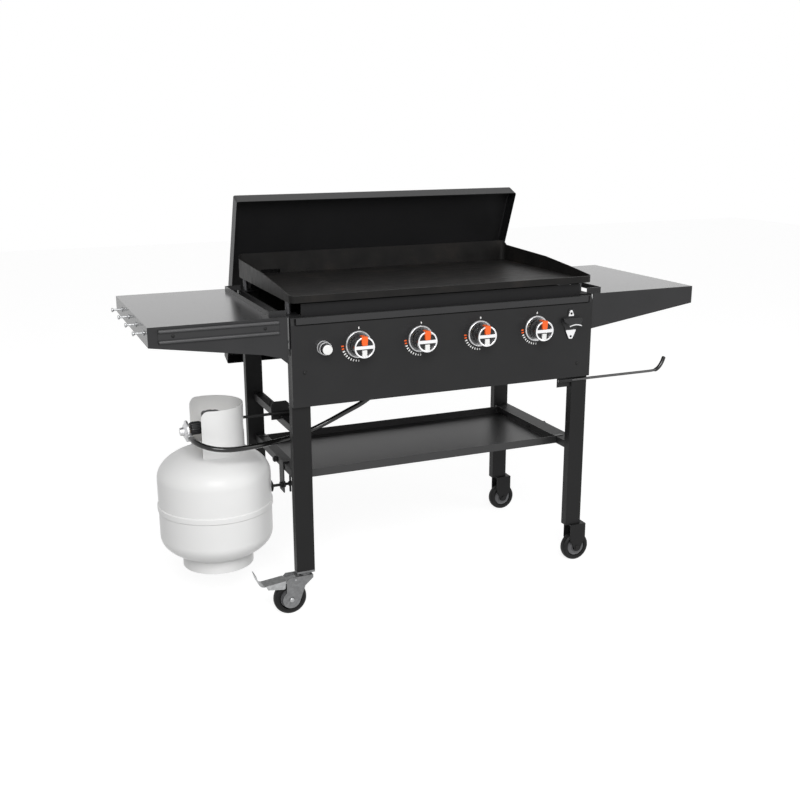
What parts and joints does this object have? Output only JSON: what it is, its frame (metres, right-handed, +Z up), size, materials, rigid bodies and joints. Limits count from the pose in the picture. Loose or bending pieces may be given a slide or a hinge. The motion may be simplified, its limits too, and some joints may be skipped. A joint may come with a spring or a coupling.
{
  "type": "outdoor gas griddle station",
  "caption": "Freestanding outdoor gas griddle cart with a flat steel cooking plate, folding-sheet side shelves, wheels, lift-off cover and a hung gas cylinder.",
  "frame": {"origin": "on the floor, midway between the left and right legs, below the middle of the burner box", "axes": "+X to the user's right along the front panel, +Y to the back, +Z up"},
  "size_m": [1.6473, 0.7794, 1.1012],
  "materials": {
    "black_powder": "satin black powder coat",
    "cooking_steel": "seasoned black carbon steel",
    "zinc": "zinc plated steel",
    "bright_chrome": "polished",
    "stainless": "brushed stainless steel",
    "brass": "machined",
    "cast_aluminium": "cast, unpolished",
    "black_plastic": "moulded, matt",
    "ceramic": "glazed",
    "white_paint": "gloss white paint",
    "rubber": "matt",
    "wheel_rubber": "matt tread on a moulded core"
  },
  "bodies": {
    "cart": {"left_legs": "black_powder", "right_legs": "black_powder", "left_rails": "black_powder", "right_rail": "black_powder", "bottom_shelf": "black_powder", "front_panel": "black_powder", "wind_guard": "black_powder", "firebox": "black_powder", "left_shelf": "black_powder", "right_shelf": "black_powder", "tool_strip": "black_powder", "towel_bar": "black_powder", "towel_bar_bracket": "black_powder", "cover_hangers": "black_powder", "tank_hook": "black_powder", "tank_stop_bracket": "black_powder", "wheel_brackets": "black_powder", "shelf_thumbscrews": "zinc", "frame_bolts": "zinc", "caster_mounts": "zinc", "tank_stop_screw": "zinc", "tool_hooks": "zinc", "control_bezels": "bright_chrome", "bottle_opener": "bright_chrome", "burners": "stainless", "gas_manifold": "stainless", "cylinder_valve": "brass", "valve_bodies": "cast_aluminium", "regulator": "cast_aluminium", "igniter_module": "black_plastic", "coupling_nut": "black_plastic", "igniter_electrodes": "ceramic", "gas_cylinder": "white_paint", "cylinder_collar": "white_paint", "gas_hose": "rubber", "towel_bar_tip": "rubber"},
    "griddle": {"griddle_plate": "cooking_steel", "griddle_feet": "zinc"},
    "cover": {"hard_cover": "black_powder", "cover_handle": "black_powder", "cover_keepers": "black_powder"},
    "cup": {"grease_cup": "stainless"},
    "igniter": {"igniter_button": "bright_chrome"},
    "handwheel": {"valve_handwheel": "black_plastic"},
    "stem_1": {"valve_stem_1": "brass"},
    "knob_1": {"knob_1": "black_plastic"},
    "stem_2": {"valve_stem_2": "brass"},
    "knob_2": {"knob_2": "black_plastic"},
    "stem_3": {"valve_stem_3": "brass"},
    "knob_3": {"knob_3": "black_plastic"},
    "stem_4": {"valve_stem_4": "brass"},
    "knob_4": {"knob_4": "black_plastic"},
    "caster_front": {"caster_fork_front": "zinc"},
    "caster_roller_front": {"caster_wheel_front": "wheel_rubber"},
    "brake_front": {"brake_lever_front": "zinc"},
    "right_roller_front": {"right_wheel_front": "wheel_rubber"},
    "caster_rear": {"caster_fork_rear": "zinc"},
    "caster_roller_rear": {"caster_wheel_rear": "wheel_rubber"},
    "brake_rear": {"brake_lever_rear": "zinc"},
    "right_roller_rear": {"right_wheel_rear": "wheel_rubber"}
  },
  "joints": [
    {"name": "griddle_lift", "type": "slide", "parent": "cart", "child": "griddle", "axis": [0, 0, 1], "range_m": [0, 0.08]},
    {"name": "cover_lift", "type": "slide", "parent": "cart", "child": "cover", "axis": [0, 0, 1], "range_m": [0, 0.15]},
    {"name": "cup_lift", "type": "slide", "parent": "cart", "child": "cup", "axis": [0, 0, 1], "range_m": [0, 0.035]},
    {"name": "burner_valve_1", "type": "hinge", "parent": "cart", "child": "stem_1", "pos_m": [-0.26805, -0.262, 0.7425], "axis": [0, -1, 0], "range_deg": [0, 180]},
    {"name": "knob_push_1", "type": "slide", "parent": "stem_1", "child": "knob_1", "axis": [0, 1, 0], "range_m": [0, 0.003], "stiffness_N_per_m": 1500, "springref_m": -0.002},
    {"name": "burner_valve_2", "type": "hinge", "parent": "cart", "child": "stem_2", "pos_m": [-0.08935, -0.262, 0.7425], "axis": [0, -1, 0], "range_deg": [0, 180]},
    {"name": "knob_push_2", "type": "slide", "parent": "stem_2", "child": "knob_2", "axis": [0, 1, 0], "range_m": [0, 0.003], "stiffness_N_per_m": 1500, "springref_m": -0.002},
    {"name": "burner_valve_3", "type": "hinge", "parent": "cart", "child": "stem_3", "pos_m": [0.08935, -0.262, 0.7425], "axis": [0, -1, 0], "range_deg": [0, 180]},
    {"name": "knob_push_3", "type": "slide", "parent": "stem_3", "child": "knob_3", "axis": [0, 1, 0], "range_m": [0, 0.003], "stiffness_N_per_m": 1500, "springref_m": -0.002},
    {"name": "burner_valve_4", "type": "hinge", "parent": "cart", "child": "stem_4", "pos_m": [0.26805, -0.262, 0.7425], "axis": [0, -1, 0], "range_deg": [0, 180]},
    {"name": "knob_push_4", "type": "slide", "parent": "stem_4", "child": "knob_4", "axis": [0, 1, 0], "range_m": [0, 0.003], "stiffness_N_per_m": 1500, "springref_m": -0.002},
    {"name": "igniter_push", "type": "slide", "parent": "cart", "child": "igniter", "axis": [0, 1, 0], "range_m": [0, 0.004], "stiffness_N_per_m": 900, "springref_m": -0.002},
    {"name": "handwheel_turn", "type": "hinge", "parent": "cart", "child": "handwheel", "pos_m": [-0.623, -0.057, 0.53], "axis": [0, 0, 1], "range_deg": [0, 720]},
    {"name": "caster_swivel_front", "type": "hinge", "parent": "cart", "child": "caster_front", "pos_m": [-0.4256, -0.2363, 0.1], "axis": [0, 0, 1], "continuous": true},
    {"name": "caster_spin_front", "type": "hinge", "parent": "caster_front", "child": "caster_roller_front", "pos_m": [-0.4706, -0.2363, 0.046], "axis": [0, 1, 0], "continuous": true},
    {"name": "brake_front", "type": "hinge", "parent": "caster_front", "child": "brake_front", "pos_m": [-0.4576, -0.2363, 0.102], "axis": [0, -1, 0], "range_deg": [0, 8]},
    {"name": "right_spin_front", "type": "hinge", "parent": "cart", "child": "right_roller_front", "pos_m": [0.4412, -0.2363, 0.044], "axis": [0, 1, 0], "continuous": true},
    {"name": "caster_swivel_rear", "type": "hinge", "parent": "cart", "child": "caster_rear", "pos_m": [-0.4256, 0.2353, 0.1], "axis": [0, 0, 1], "continuous": true},
    {"name": "caster_spin_rear", "type": "hinge", "parent": "caster_rear", "child": "caster_roller_rear", "pos_m": [-0.4706, 0.2353, 0.046], "axis": [0, 1, 0], "continuous": true},
    {"name": "brake_rear", "type": "hinge", "parent": "caster_rear", "child": "brake_rear", "pos_m": [-0.4576, 0.2353, 0.102], "axis": [0, -1, 0], "range_deg": [0, 8]},
    {"name": "right_spin_rear", "type": "hinge", "parent": "cart", "child": "right_roller_rear", "pos_m": [0.4412, 0.2353, 0.044], "axis": [0, 1, 0], "continuous": true}
  ]
}
